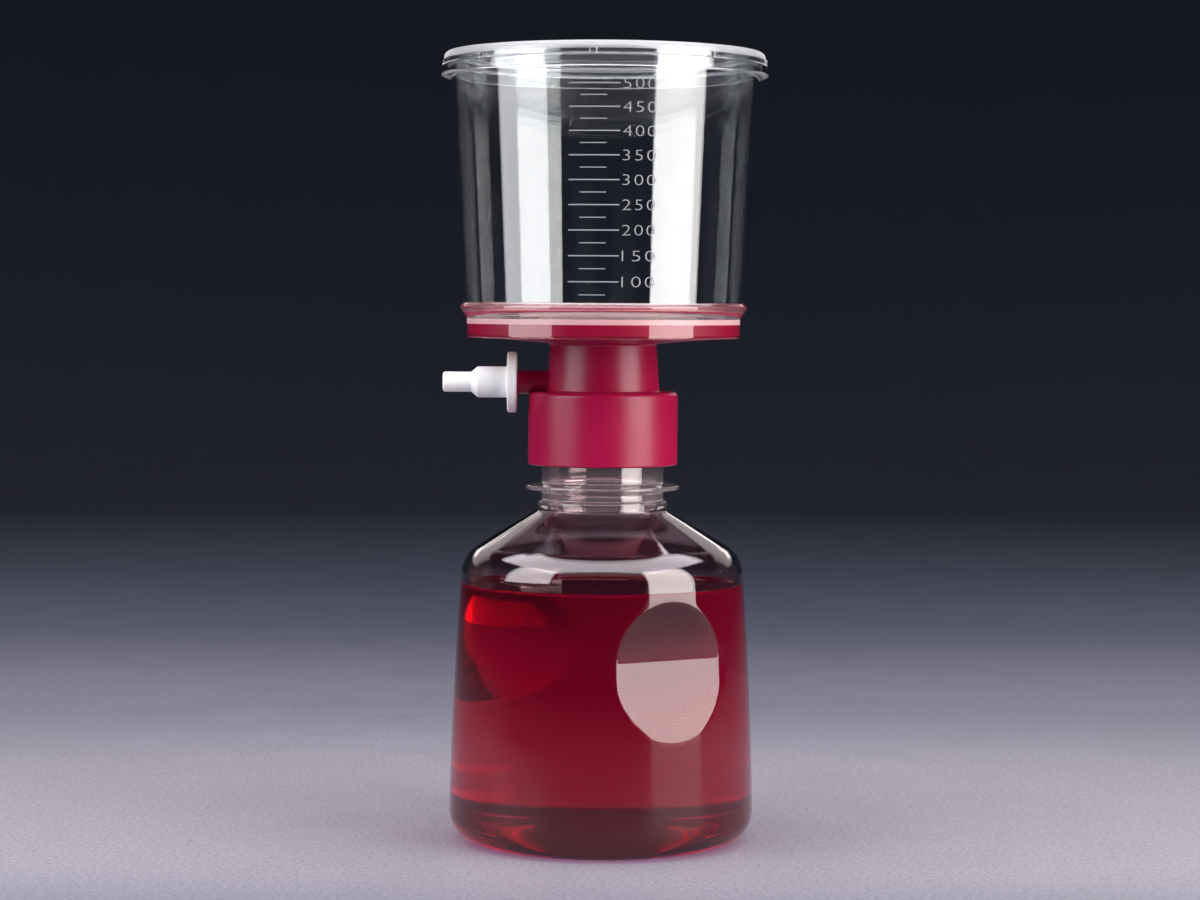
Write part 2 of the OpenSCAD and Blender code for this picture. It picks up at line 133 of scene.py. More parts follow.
class ChamberSizes(bpy.types.PropertyGroup):
    weld: length("Weld", "How deep the skirt has melted into the filter base's rim", 0.05)
    # The pale band under the bead is a painted highlight: a pale pink frosted band that stands in for a
    # highlight line of the overhead lamp, not a line that the weld leaves.
    weld_h: length("Weld height", "Height of the pale line that the weld leaves under the bead", 1.6)
    skirt_wall: length("Skirt wall", "Wall thickness of the skirt", 1.7)
    slope_lift: length("Slope lift", "Height of the foot of the slope above the groove's top", 0.3)
    slope_h: length("Slope height", "Height of the slope under the stacking bead", 3.1)
    bead_out: length("Bead", "How far the stacking bead stands out of the skirt", 2.1)
    bead_h: length("Bead height", "Height of the stacking bead's edge", 1.35)
    bowl_inset: length("Bowl inset", "How far the bowl's foot stands in from the bead's edge", 0.8)
    bowl_flare: length("Bowl flare", "How far the bowl's radius grows from bottom to top", 4.2)
    bowl_wall: length("Bowl wall", "Wall thickness of the bowl", 1.3)
    bowl_blend: length("Bowl blend", "Radius between the chamber's floor and its wall", 1)
    floor_t: length("Floor", "Thickness of the floor over the filter base's rim", 1.6)
    clamp_w: length("Clamp ring", "Width of the ring that clamps the membrane", 1.9)
    rim_out: length("Rim", "How far the bowl's rim stands out", 0.5)
    rim_h: length("Rim height", "Height of the bowl's rim", 2.2)


class LidSizes(bpy.types.PropertyGroup):
    gap: length("Gap", "Clearance between the lid and the bowl's rim", 0.35)
    wall: length("Skirt wall", "Wall thickness of the lid's skirt", 1.05)
    top_round: length("Top rounding", "Radius round the lid's top", 1.9)
    bead_h: length("Bead height", "Height of the bead round the skirt's bottom", 3.6)
    bead_out: length("Bead", "How far that bead stands out", 0.95)
    ring_h: length("Ring height", "Height of the locating ring", 2.6)
    ring_w: length("Ring width", "Thickness of the locating ring", 1.1)
    ribs: IntProperty(name="Ribs", description="Number of ribs in the groove", default=8, min=4, max=16)
    rib_angle: angle("Rib azimuth", "Azimuth of the front rib, from the front towards -X", 4)
    rib_w: length("Rib width", "Width of each rib", 2)
    rib_h: length("Rib height", "Height of each rib above the bead", 1.8)
    rib_out: length("Rib depth", "How far each rib stands out of the groove", 0.55)
    frost_h: length("Frosted band", "Height of the frosted band below the lid's top", 2.6)
    frost_w: length("Frosted rim", "Width of the frosted rim round the lid's top", 5)


class ScaleSizes(bpy.types.PropertyGroup):
    lowest_z: length("Lowest height", "Height of the 100 mL line", 176.4)
    highest_z: length("Highest height", "Height of the 500 mL line", 235.8)
    taper: FloatProperty(
        name="Taper", description="How much closer the lines stand at the top, in steps", default=0.06
    )
    azimuth: angle("Azimuth", "Azimuth of the lines' right ends, from the front", 5.6)
    major_w: length("Long line", "Length of the line at each 50 mL", 15.4)
    minor_w: length("Short line", "Length of the line between them", 8)
    minor_in: length("Short line inset", "Distance from the long lines' right ends to the short ones'", 4)
    line_h: length("Line width", "Width of each line", 0.38)
    digits_w: length("Numeral width", "Width of a three-digit numeral", 10.2)
    digits_h: length("Numeral height", "Height of a numeral", 3.2)
    digits_gap: length("Numeral gap", "Gap between a line and its numeral", 0.9)
    ink_t: length("Ink", "Thickness of the printed ink", 0.03)


class FiltrateSizes(bpy.types.PropertyGroup):
    gap: length("Gap", "Gap between the liquid's surface and the wall that it wets", 0.03)
    climb: length("Climb", "How far the liquid climbs the wall", 1.3)
    reach: length("Reach", "Distance from the wall over which the climb dies away", 1.6)


class UnitColours(bpy.types.PropertyGroup):
    clear: colour("Clear plastic", "Tint of the clear mouldings", 0.97, 0.985, 0.99)
    # The neck tint is painted red light: a pink base colour on the bottle's dry surfaces and neck. It stands
    # in for red light from the collar, stem and filtrate shining through the plastic, not for a film of
    # liquid.
    neck: colour("Neck", "Tint of the bottle above the liquid, which has wetted it", 0.97, 0.82, 0.83)
    # The chamber's foot tint is painted red light and shade: a pink, darker base colour that stands in for
    # the red base seen through the skirt and bead, and for the shade in that band.
    low: colour("Chamber's foot", "Tint of the chamber where it stands over the red base", 0.84, 0.52, 0.52)
    red: colour("Red plastic", "Colour of the filter base", 0.33, 0.0025, 0.045)
    white: colour("White plastic", "Colour of the hose adapter", 0.97, 0.965, 0.955)
    ink: colour("Ink", "Colour of the printed scale", 0.3, 0.31, 0.33)
    membrane: colour("Membrane", "Colour of the membrane", 0.86, 0.85, 0.81)
    gasket: colour("Gasket", "Colour of the neck's sealing ring", 0.7, 0.7, 0.67)
    filtrate: colour("Filtrate", "Colour that the filtrate lets through", 0.92, 0.12, 0.75)
    # The floor's colour is the lit middle of a painted pool of light, and the backdrop's colour is its
    # painted dark far from the unit.
    floor: colour("Floor", "Colour of the floor near the unit", 0.265, 0.25, 0.278)
    backdrop: colour("Backdrop", "Colour of the floor far from the unit", 0.043, 0.053, 0.085)


class StageSettings(bpy.types.PropertyGroup):
    camera_back: length("Camera distance", "Distance from the unit's axis to the camera", 950)
    camera_z: length("Camera height", "Height of the camera", 171)
    camera_x: length("Camera offset", "How far the camera stands to the left of the axis", 0.87)
    camera_tilt: angle("Camera tilt", "How far the camera looks down", 2.86)
    camera_roll: angle("Camera roll", "How far the camera leans", 0.32)
    camera_lens: FloatProperty(name="Lens", description="Focal length", default=90.2, unit="CAMERA")
    floor_r: length("Floor radius", "Radius of the flat floor", 1500)
    cove_r: length("Cove radius", "Radius of the curve between the floor and the wall", 900)
    wall_z: length("Wall height", "Height of the wall round the floor", 2600)


# Outlines


def unit(v):
    return v / np.linalg.norm(v)


def corner(r, z, rounding=0.0):
    """One corner of an outline, as a row of (radius, height, rounding)."""
    return np.array([[r, z, rounding]])


def curve(r, z):
    """A smooth stretch of an outline through arrays of radii and heights."""
    r, z = np.broadcast_arrays(r, z)
    return np.column_stack([r, z, np.zeros(len(z))])


# The steps of an arc turn by no more than ARC_STEP and are no longer than ARC_LENGTH. A straight stretch
# has a row at EDGE from each end.
ARC_STEP = math.radians(12)
ARC_LENGTH = 1.8 * MM
EDGE = 0.08 * MM

# Roundings of the small corners of a moulding
THIN, SOFT, FULL = 0.3 * MM, 0.6 * MM, 0.8 * MM


def arc(before, point, after, rounding):
    """The arc of that radius at a point which touches the lines from the point to before and to after."""
    u, v = unit(before - point), unit(after - point)
    half = math.acos(u @ v) / 2
    middle = point + unit(u + v) * rounding / math.sin(half)
    start = point + u * rounding / math.tan(half) - middle
    end = point + v * rounding / math.tan(half) - middle
    sweep = math.pi - 2 * half
    steps = max(2, math.ceil(sweep / ARC_STEP), math.ceil(sweep * rounding / ARC_LENGTH))
    t = np.linspace(0, 1, steps + 1)[:, None]
    return middle + (np.sin((1 - t) * sweep) * start + np.sin(t * sweep) * end) / math.sin(sweep)


def trace(path, ring=False):
    """Rows of (radius, height) along an outline of corners and curves. A rounded corner becomes its arc,
    and each straight stretch gets a row just inside both ends, so that it shades flat. A ring's outline
    closes."""
    parts = []
    for i, part in enumerate(path):
        if len(part) == 1 and part[0, 2] > 0:
            following = path[(i + 1) % len(path)]
            parts.append(arc(path[i - 1][-1, :2], part[0, :2], following[0, :2], part[0, 2]))
        else:
            parts.append(part[:, :2])
    rows = []
    for part, following in zip(parts, parts[1:] + parts[:1] if ring else parts[1:]):
        rows.append(part)
        a, b = part[-1], following[0]
        gap = np.linalg.norm(b - a)
        if gap > 3 * EDGE:
            rows.append(np.array([a + (b - a) * EDGE / gap, b - (b - a) * EDGE / gap]))
    if not ring:
        rows.append(parts[-1])
    rows = np.vstack(rows)
    apart = np.linalg.norm(np.diff(rows, axis=0), axis=1) > EDGE / 100
    return rows[np.concatenate([[True], apart])]


def inset(path, walls):
    """The outline moved inwards by a wall for each of its stretches. Each corner goes to where the moved
    stretches on its two sides meet, and a rounding shrinks or grows by the wall before it."""
    points = np.vstack(path)
    along = np.diff(points[:, :2], axis=0)
    along /= np.linalg.norm(along, axis=1)[:, None]
    inward = np.column_stack([-along[:, 1], along[:, 0]])
    m, n = np.vstack([inward[:1], inward]), np.vstack([inward, inward[-1:]])
    s, t = np.concatenate([walls[:1], walls]), np.concatenate([walls, walls[-1:]])
    c = np.sum(m * n, axis=1)
    bend = m[:, 0] * n[:, 1] - m[:, 1] * n[:, 0]
    straight = np.abs(bend) < 1e-6
    over = np.where(straight, 1, 1 - c * c)
    mitre = ((s - t * c)[:, None] * m + (t - s * c)[:, None] * n) / over[:, None]
    moved = points[:, :2] + np.where(straight[:, None], t[:, None] * n, mitre)
    rounding = np.where(points[:, 2] > 0, np.maximum(points[:, 2] - np.sign(bend) * s, 0), 0)
    ends = np.cumsum([len(part) for part in path])[:-1]
    return np.split(np.column_stack([moved, rounding]), ends)


def smooth_least(a, b, soft):
    """The smaller of two fields, with the crease between them rounded over a width of soft."""
    share = np.maximum(soft - np.abs(a - b), 0) / soft
    return np.minimum(a, b) - share * share * soft / 4


def smooth_step(x):
    """Rises from nought to one as x does, and starts and ends level."""
    x = np.clip(x, 0, 1)
    return x * x * (3 - 2 * x)


# Meshes

NO_QUADS = np.zeros((0, 4), int)
NO_TRIANGLES = np.zeros((0, 3), int)


def even_turn(columns):
    """Azimuths of that many columns, evenly spaced once round."""
    return np.arange(columns) * 2 * math.pi / columns


def around(radius, height, azimuth):
    """Points at grids of radius and height, turned by azimuth from the front towards +X."""
    return np.stack([radius * np.sin(azimuth), -radius * np.cos(azimuth), height + 0 * azimuth], axis=-1)


def build_mesh(name, points, quads, triangles, materials, material_index=None, smooth=True):
    """An object of these points, quads and triangles, as arrays."""
    mesh = bpy.data.meshes.new(name)
    corners = np.concatenate([quads.ravel(), triangles.ravel()]).astype(np.int32)
    starts = np.concatenate(
        [np.arange(len(quads)) * 4, len(quads) * 4 + np.arange(len(triangles)) * 3]
    ).astype(np.int32)
    mesh.vertices.add(len(points))
    mesh.vertices.foreach_set("co", points.astype(np.float32).ravel())
    mesh.loops.add(len(corners))
    mesh.loops.foreach_set("vertex_index", corners)
    mesh.polygons.add(len(starts))
    mesh.polygons.foreach_set("loop_start", starts)
    mesh.polygons.foreach_set("use_smooth", np.full(len(starts), smooth))
    if material_index is not None:
        mesh.polygons.foreach_set("material_index", material_index.astype(np.int32))
    for material in materials:
        mesh.materials.append(material)
    mesh.update(calc_edges=True)
    mesh.validate()
    piece = bpy.data.objects.new(name, mesh)
    bpy.context.scene.collection.objects.link(piece)
    return piece


def skin(rows, columns, ring):
    """Corner numbers of the quads between neighbouring rows and columns. The columns go once round, and a
    ring's last row joins its first."""
    i = np.arange(rows if ring else rows - 1)[:, None]
    j = np.arange(columns)[None, :]
    low, high, on = i * columns, (i + 1) % rows * columns, (j + 1) % columns
    return np.stack([low + j, low + on, high + on, high + j], axis=-1).reshape(-1, 4)


def revolve(name, rows, radius, azimuth, materials, row_material):
    """A closed surface round the axis. Row i of radius holds the outline's radius at each azimuth, and its
    height is that of the outline. An outline that starts and ends on the axis gets one point there and a
    fan of triangles. The faces from row i to the next have material number i of row_material."""
    ring = rows[0, 0] > 0
    inner = slice(None) if ring else slice(1, -1)
    grid = around(radius[inner], rows[inner, 1][:, None], azimuth[None, :])
    count, columns = grid.shape[:2]
    points, quads, triangles = grid.reshape(-1, 3), skin(count, columns, ring), NO_TRIANGLES
    if not ring:
        j = np.arange(columns)
        on = (j + 1) % columns
        top = (count - 1) * columns
        low, high = len(points), len(points) + 1
        points = np.vstack([points, [[0, 0, rows[0, 1]], [0, 0, rows[-1, 1]]]])
        first = np.column_stack([np.full(columns, low), on, j])
        last = np.column_stack([top + j, top + on, np.full(columns, high)])
        triangles = np.vstack([first, last])
        row_material = np.concatenate([row_material[1:-2], row_material[[0, -2]]])
    return build_mesh(name, points, quads, triangles, materials, np.repeat(row_material, columns))


def bar(count):
    """Quads of a closed bar that has four corners at each of that many stations."""
    i, j = np.arange(count - 1)[:, None] * 4, np.arange(4)[None, :]
    on = (j + 1) % 4
    sides = np.stack([i + j, i + on, i + 4 + on, i + 4 + j], axis=-1).reshape(-1, 4)
    last = 4 * (count - 1)
    return np.vstack([sides, [[3, 2, 1, 0], [last, last + 1, last + 2, last + 3]]])


# Materials


def add_node(tree, kind, inputs, **settings):
    """A new shader node with its settings. Each input is joined to a socket or set to a value."""
    node = tree.nodes.new("ShaderNode" + kind)
    for name, value in settings.items():
        setattr(node, name, value)
    for key, value in inputs.items():
        if isinstance(value, bpy.types.NodeSocket):
            tree.links.new(value, node.inputs[key])
        else:
            node.inputs[key].default_value = value
    return node


def sums(tree, operation, first, second):
    """The result of an operation on two numbers, each a socket or a value."""
    return add_node(tree, "Math", {0: first, 1: second}, operation=operation).outputs[0]


def mixed(tree, share, first, second):
    """A colour between two others, each a socket or a value with alpha."""
    return add_node(tree, "Mix", {0: share, 6: first, 7: second}, data_type="RGBA").outputs[2]


def noise(tree, place, scale, detail):
    """A value between nought and one that wanders over the surface."""
    return add_node(tree, "TexNoise", {"Vector": place, "Scale": scale, "Detail": detail}).outputs["Fac"]


def patches(tree, given, place):
    """Patches of more and less polish, as handling and mould wear leave them: a roughness between two."""
    value = noise(tree, place, given["Scale"], 4)
    ends = {"From Min": 0.3, "From Max": 0.7, "To Min": given["Low"], "To Max": given["High"]}
    return add_node(tree, "MapRange", {"Value": value, **ends}).outputs["Result"]


def drift(tree, given, place):
    """A colour that drifts towards a second one over the surface."""
    return mixed(tree, noise(tree, place, given["Scale"], 3), given["Color"], given["Other"])


def relief(tree, given, place):
    """A height made of a broad wave, as plastic flow leaves it, and a fine grain, each with its share."""
    wave = sums(tree, "MULTIPLY", noise(tree, place, given["Wave Scale"], 1), given["Wave"])
    grain = sums(tree, "MULTIPLY", noise(tree, place, given["Grain Scale"], 2), given["Grain"])
    return sums(tree, "ADD", wave, grain)


GREY = (0.5, 0.5, 0.5, 1)
# Each shared effect: what makes it, its inputs, and its output
EFFECTS = {
    "handled_polish": (patches, {"Scale": 40, "Low": 0.1, "High": 0.3}, ("Roughness", "Float")),
    "colour_drift": (drift, {"Scale": 60, "Color": GREY, "Other": GREY}, ("Color", "Color")),
    "moulded_relief": (
        relief, {"Wave Scale": 40, "Wave": 1, "Grain Scale": 2000, "Grain": 0.1}, ("Height", "Float"),
    ),
}


def effect_group(name):
    """The shader node group of a shared effect, made once."""
    if name in bpy.data.node_groups:
        return bpy.data.node_groups[name]
    make, inputs, (output, kind) = EFFECTS[name]
    group = bpy.data.node_groups.new(name, "ShaderNodeTree")
    for label, default in inputs.items():
        socket_type = "NodeSocketColor" if isinstance(default, tuple) else "NodeSocketFloat"
        socket = group.interface.new_socket(label, in_out="INPUT", socket_type=socket_type)
        socket.default_value = default
    group.interface.new_socket(output, in_out="OUTPUT", socket_type="NodeSocket" + kind)
    given, result = group.nodes.new("NodeGroupInput"), group.nodes.new("NodeGroupOutput")
    place = add_node(group, "TexCoord", {}).outputs["Object"]
    group.links.new(make(group, given.outputs, place), result.inputs[output])
    return group


def effect(tree, name, *values):
    """Places a shared effect in a tree, with these values on its inputs, and gives its output."""
    node = add_node(tree, "Group", dict(enumerate(values)), node_tree=effect_group(name))
    return node.outputs[0]


def drifting(tree, scale, one, other):
    """A colour that drifts between two, each without alpha, over patches of a scale."""
    return effect(tree, "colour_drift", scale, (*one, 1), (*other, 1))


def finish(tree, shader, base, polish, grain, depth):
    """Gives a Principled shader a colour from a socket, uneven polish as (scale, low, high), and a relief
    as (wave scale, wave, grain scale, grain) with its depth in metres."""
    tree.links.new(base, shader.inputs["Base Color"])
    tree.links.new(effect(tree, "handled_polish", *polish), shader.inputs["Roughness"])
    height = effect(tree, "moulded_relief", *grain)
    bump = add_node(tree, "Bump", {"Height": height, "Distance": depth})
    tree.links.new(bump.outputs["Normal"], shader.inputs["Normal"])


def new_material(name, **sockets):
    """A material, its tree, its Principled shader and its output. The shader's sockets are set by name,
    with underscores for spaces."""
    material = bpy.data.materials.new(name)
    material.use_nodes = True
    tree = material.node_tree
    shader = next(n for n in tree.nodes if n.type == "BSDF_PRINCIPLED")
    output = next(n for n in tree.nodes if n.type == "OUTPUT_MATERIAL")
    for label, value in sockets.items():
        shader.inputs[label.replace("_", " ")].default_value = value
    return material, tree, shader, output


def let_lamps_through(tree, shader, output, tint):
    """Lets light from the lamps pass straight through a clear piece to what is behind it."""
    path = add_node(tree, "LightPath", {})
    through = add_node(tree, "BsdfTransparent", {"Color": (*tint, 1)})
    shadow = path.outputs["Is Shadow Ray"]
    mix = add_node(tree, "MixShader", {0: shadow, 1: shader.outputs[0], 2: through.outputs[0]})
    tree.links.new(mix.outputs[0], output.inputs["Surface"])


def shade(base, share):
    """The colour with each of its parts multiplied by a share."""
    return [c * share for c in base]


# Refractive indices
BOTTLE_INDEX, CHAMBER_INDEX, FILTRATE_INDEX = 1.57, 1.59, 1.34

# Where the low end of a polish is below nought, that part of the surface is a perfect mirror.
BLOWN = ((25, -0.05, 0.02), (28, 1, 1400, 0.012), 0.05 * MM)
BOWL = ((30, -0.05, 0.02), (35, 1, 1600, 0.006), 0.02 * MM)
COVER = ((30, -0.05, 0.02), (30, 1, 1500, 0.01), 0.03 * MM)
FROST = ((80, 0.3, 0.45), (200, 0.3, 3000, 1), 0.02 * MM)


def clear_material(name, index, surface, tint, through=1):
    """Clear plastic of that refractive index. On a wall that liquid wets, it is the ratio of the two."""
    material, tree, shader, output = new_material(name, Transmission_Weight=through, IOR=index)
    finish(tree, shader, drifting(tree, 45, tint, shade(tint, 0.985)), *surface)
    let_lamps_through(tree, shader, output, (0.93, 0.93, 0.93))
    return material


def frosted_material(name, through, pale, other):
    """Plastic with a fine matt texture, which lets a share of the light through and scatters the rest."""
    material, tree, shader, output = new_material(name, Transmission_Weight=through, IOR=CHAMBER_INDEX)
    finish(tree, shader, drifting(tree, 60, pale, other), *FROST)
    let_lamps_through(tree, shader, output, (0.8, 0.8, 0.8))
    return material


def filtrate_material(name, index):
    """Red liquid, which colours light by the distance that it goes through, and scatters a little of it,
    as fine cloudiness does. The index is 1 where it meets the wall, whose own surface bends the light
    there."""
    material, tree, shader, output = new_material(name, Transmission_Weight=0.955, IOR=index)
    cloudy = drifting(tree, 20, (0.86, 0.02, 0.13), (0.8, 0.014, 0.11))
    finish(tree, shader, cloudy, (15, -0.02, 0.004), (60, 1, 300, 0.1), 0.01 * MM)
    let_lamps_through(tree, shader, output, (1, 1, 1))
    let_through = (*bpy.context.scene.filtration_colours.filtrate, 1)
    volume = add_node(tree, "VolumeAbsorption", {"Color": let_through, "Density": 75})
    tree.links.new(volume.outputs[0], output.inputs["Volume"])
    return material


def solid_material(name, base, other, scale, polish, grain, depth, **sockets):
    """An opaque finish, whose colour drifts between two at a scale."""
    material, tree, shader, _ = new_material(name, **sockets)
    finish(tree, shader, drifting(tree, scale, base, other), polish, grain, depth)
    return material


# The receiver bottle and its filtrate


def body_radius(s, z):
    """The parabola through the body's three given radii."""
    p = -s.body_mid_in / (s.body_mid_z - s.body_low_z)
    q = (s.body_mid_in - s.body_top_in) / (s.shoulder_z - s.body_mid_z)
    bend = (q - p) * (z - s.body_mid_z) / (s.shoulder_z - s.body_low_z)
    return s.body_r + (z - s.body_low_z) * (p + bend)


def body_heights(s, count):
    """Heights along the body, with that many close together over the dents. These reach further down than
    up, because the body widens downwards."""
    dent_low, dent_top = s.grip_z - 1.35 * s.grip_reach, s.grip_z + s.grip_reach
    low = np.linspace(s.body_low_z, dent_low, 6)
    dent = np.linspace(dent_low, dent_top, count)
    below_shoulder = s.shoulder_z - 7 * MM
    return np.concatenate([low, dent[1:-1], [dent_top, below_shoulder]])


def root_height(s):
    """Height at which the shoulder's slope meets the neck."""
    return s.shoulder_z + (s.body_r - s.body_top_in - s.neck_r) * math.tan(s.shoulder_slope)


def body_path(s, count):
    """The bottle's outline from the middle of its foot to the neck's root. The bottom is domed by an arc
    that takes up nearly all of its slope, and that many rows pass over the dents."""
    foot_in = s.body_r - s.foot_round - s.foot_w
    slope = math.atan2(s.push_up, foot_in / 2)
    z = body_heights(s, count)
    return [
        corner(0, s.push_up),
        corner(foot_in / 2, s.push_up, 0.48 * foot_in / math.tan(slope / 2)),
        corner(foot_in, 0, FULL),
        corner(s.body_r, 0, s.foot_round),
        curve(body_radius(s, z), z),
        corner(s.body_r - s.body_top_in, s.shoulder_z, s.shoulder_round),
        corner(s.neck_r, root_height(s)),
    ]


def neck_path(s, lip_z):
    """The neck's outline above the shoulder: root ring, flange and a fine stretch for the thread."""
    root_z = root_height(s)
    ring_r, ring_z = s.neck_r + s.ring_out, root_z + s.ring_h
    flange_z = root_z + s.flange_rise
    edge_r, edge_t, root_t = s.neck_r + s.flange_out, s.flange_edge_t / 2, s.flange_root_t / 2
    return [
        corner(ring_r, root_z - s.ring_out * math.tan(s.shoulder_slope), 0.35 * MM),
        corner(ring_r, ring_z, FULL),
        corner(s.neck_r, ring_z, SOFT),
        corner(s.neck_r, flange_z - root_t, SOFT),
        corner(edge_r, flange_z - edge_t, edge_t * 0.98),
        corner(edge_r, flange_z + edge_t, edge_t * 0.98),
        corner(s.neck_r, flange_z + root_t, SOFT),
        curve(s.neck_r, np.linspace(flange_z + 4 * MM, lip_z - 1 * MM, 50)),
        corner(s.neck_r, lip_z, 0.4 * MM),
    ]


def inside_path(s, wall, lip_z):
    """The hollow's outline from the middle of the bottle's floor to the lip."""
    outer = body_path(s, 40) + [corner(s.neck_r, lip_z)]
    walls = np.full(sum(len(part) for part in outer) - 1, wall)
    walls[-1] = s.neck_wall
    inner = inset(outer, walls)
    inner[-2][0, 2] = s.neck_blend
    return inner


def dented(s, rows, azimuth, wall):
    """The outline's radius at each azimuth, with the two opposite dents. Each is the side of a level
    cylinder, so its distance from the axis grows with one over the cosine of the angle to its middle. That
    cosine has a least value, which is well outside the dents."""
    axis = body_radius(s, s.grip_z) - s.grip_depth + s.grip_curve
    depth = axis - np.sqrt(np.maximum((s.grip_curve + wall) ** 2 - (rows[:, 1] - s.grip_z) ** 2, 0))
    off = (azimuth - s.grip_angle + math.pi / 2) % math.pi - math.pi / 2
    flat = depth[:, None] / np.maximum(np.cos(off), 0.3)[None, :]
    return smooth_least(np.broadcast_to(rows[:, :1], flat.shape), flat, s.grip_soft)


def dent_azimuths(s):
    """Angles once round, close together over both dents, which span less than 23 degrees on each side."""
    half = math.radians(23)
    fine = np.linspace(-half, half, 84, endpoint=False)
    coarse = np.linspace(half, math.pi - half, 36, endpoint=False)
    return np.concatenate([fine, coarse, fine + math.pi, coarse + math.pi]) + s.grip_angle


def ridge(t, z, azimuth, lowest_z):
    """How far a right-hand thread's ridge stands out at each height and azimuth, as a share of its depth: a
    trapezium about the nearest turn of the helix, which runs out at both ends."""
    turned = azimuth % (2 * math.pi) / (2 * math.pi)
    nearest = np.round((z - lowest_z) / t.pitch - turned)
    along = nearest + turned
    off = np.abs(z - lowest_z - along * t.pitch)
    flank = smooth_step((t.root_w / 2 - off) / ((t.root_w - t.crest_w) / 2))
    return flank * run_out(t, along)


def run_out(t, along):
    """Share of the ridge's depth that is left at each number of turns along it."""
    fade = t.fade / (2 * math.pi)
    return smooth_step(along / fade) * smooth_step((t.turns - along) / fade)


def thread_low(t, lip_z):
    """Height of the lower end of the ridge on the neck."""
    return lip_z - t.below_lip - t.pitch * t.turns


class FILTRATION_OT_bottle(bpy.types.Operator):
    """Blow-moulded clear receiver bottle, with its grip dents, flange and screw thread"""

    bl_idname = "filtration.bottle"
    bl_label = "Receiver Bottle"

    def execute(self, context):
        scene = context.scene
        s, t, colours = scene.filtration_bottle, scene.filtration_thread, scene.filtration_colours
        lip_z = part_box("receiver_bottle")[1].z
        wet_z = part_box("filtrate")[1].z + scene.filtration_filtrate.climb
        azimuth = dent_azimuths(s)
        outer = trace(body_path(s, 100)[:-1] + neck_path(s, lip_z))
        lip = [corner(s.neck_r - s.neck_wall, lip_z, 0.4 * MM), corner(s.neck_r, lip_z)]
        inner = trace(inside_path(s, s.wall, lip_z)[:-1] + lip)[:-1]
        outside = dented(s, outer, azimuth, 0)
        on_neck = (np.abs(outer[:, 0] - s.neck_r) < EDGE)[:, None]
        outside += on_neck * t.depth * ridge(t, outer[:, 1:], azimuth[None, :], thread_low(t, lip_z))
        rows = np.vstack([outer, inner[::-1]])
        radius = np.vstack([outside, dented(s, inner, azimuth, s.wall)[::-1]])
        wetted = np.concatenate([np.zeros(len(outer)), inner[::-1, 1] < wet_z + EDGE])
        plastic_of_row = np.where(rows[:, 1] > root_height(s) + EDGE, 2, wetted).astype(int)
        # The dry rows and the neck take the neck tint, a painted pink glow that stands in for red light from
        # the red parts inside. The neck also scatters a little of that colour.
        plastics = [
            clear_material("bottle_clear", BOTTLE_INDEX, BLOWN, colours.neck),
            clear_material("bottle_wetted", BOTTLE_INDEX / FILTRATE_INDEX, BLOWN, colours.clear),
            clear_material("bottle_neck", BOTTLE_INDEX, BLOWN, colours.neck, through=0.96),
        ]
        piece = revolve("clear_bottle", rows, radius, azimuth, plastics, plastic_of_row)
        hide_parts("receiver_bottle")
        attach(piece, "receiver")
        return {"FINISHED"}


class FILTRATION_OT_filtrate(bpy.types.Operator):
    """Red filtrate, whose surface climbs a little where it meets the wall"""

    bl_idname = "filtration.filtrate"
    bl_label = "Filtrate"

    def execute(self, context):
        """The climb dies away exponentially with the distance from the wall, and is as good as gone at six
        times its reach."""
        s, f = context.scene.filtration_bottle, context.scene.filtration_filtrate
        fill_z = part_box("filtrate")[1].z
        wall = s.wall + f.gap
        side = trace(inside_path(s, wall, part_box("receiver_bottle")[1].z))
        side = side[side[:, 1] < fill_z + f.climb]
        edge_r = body_radius(s, fill_z) - wall
        from_wall = np.linspace(0, 1, 24) ** 2 * 6 * f.reach
        surface = np.column_stack([edge_r - from_wall, fill_z + f.climb * np.exp(-from_wall / f.reach)])
        rows = np.vstack([side, surface, [[0, fill_z]]])
        azimuth = dent_azimuths(s)
        liquids = [
            filtrate_material("filtrate_at_wall", 1),
            filtrate_material("filtrate_surface", FILTRATE_INDEX),
        ]
        free = (np.arange(len(rows)) >= len(side)).astype(int)
        radius = dented(s, rows, azimuth, wall)
        piece = revolve("red_filtrate", rows, radius, azimuth, liquids, free)
        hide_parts("filtrate")
        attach(piece, "receiver")
        return {"FINISHED"}


# The upper chamber, its lid and its printed scale


def bowl_radii(c):
    """Outer radius of the bowl's wall at its foot and at its top."""
    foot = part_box("filter_base")[1].x - c.weld + c.skirt_wall + c.bead_out - c.bowl_inset
    return foot, foot + c.bowl_flare


def chamber_levels(c):
    """Heights of the groove's top, the slope's foot, the bead and the bowl's foot."""
    groove_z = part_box("filter_base")[1].z - c.weld
    slope_z = groove_z + c.slope_lift
    return groove_z, slope_z, slope_z + c.slope_h, slope_z + c.slope_h + c.bead_h


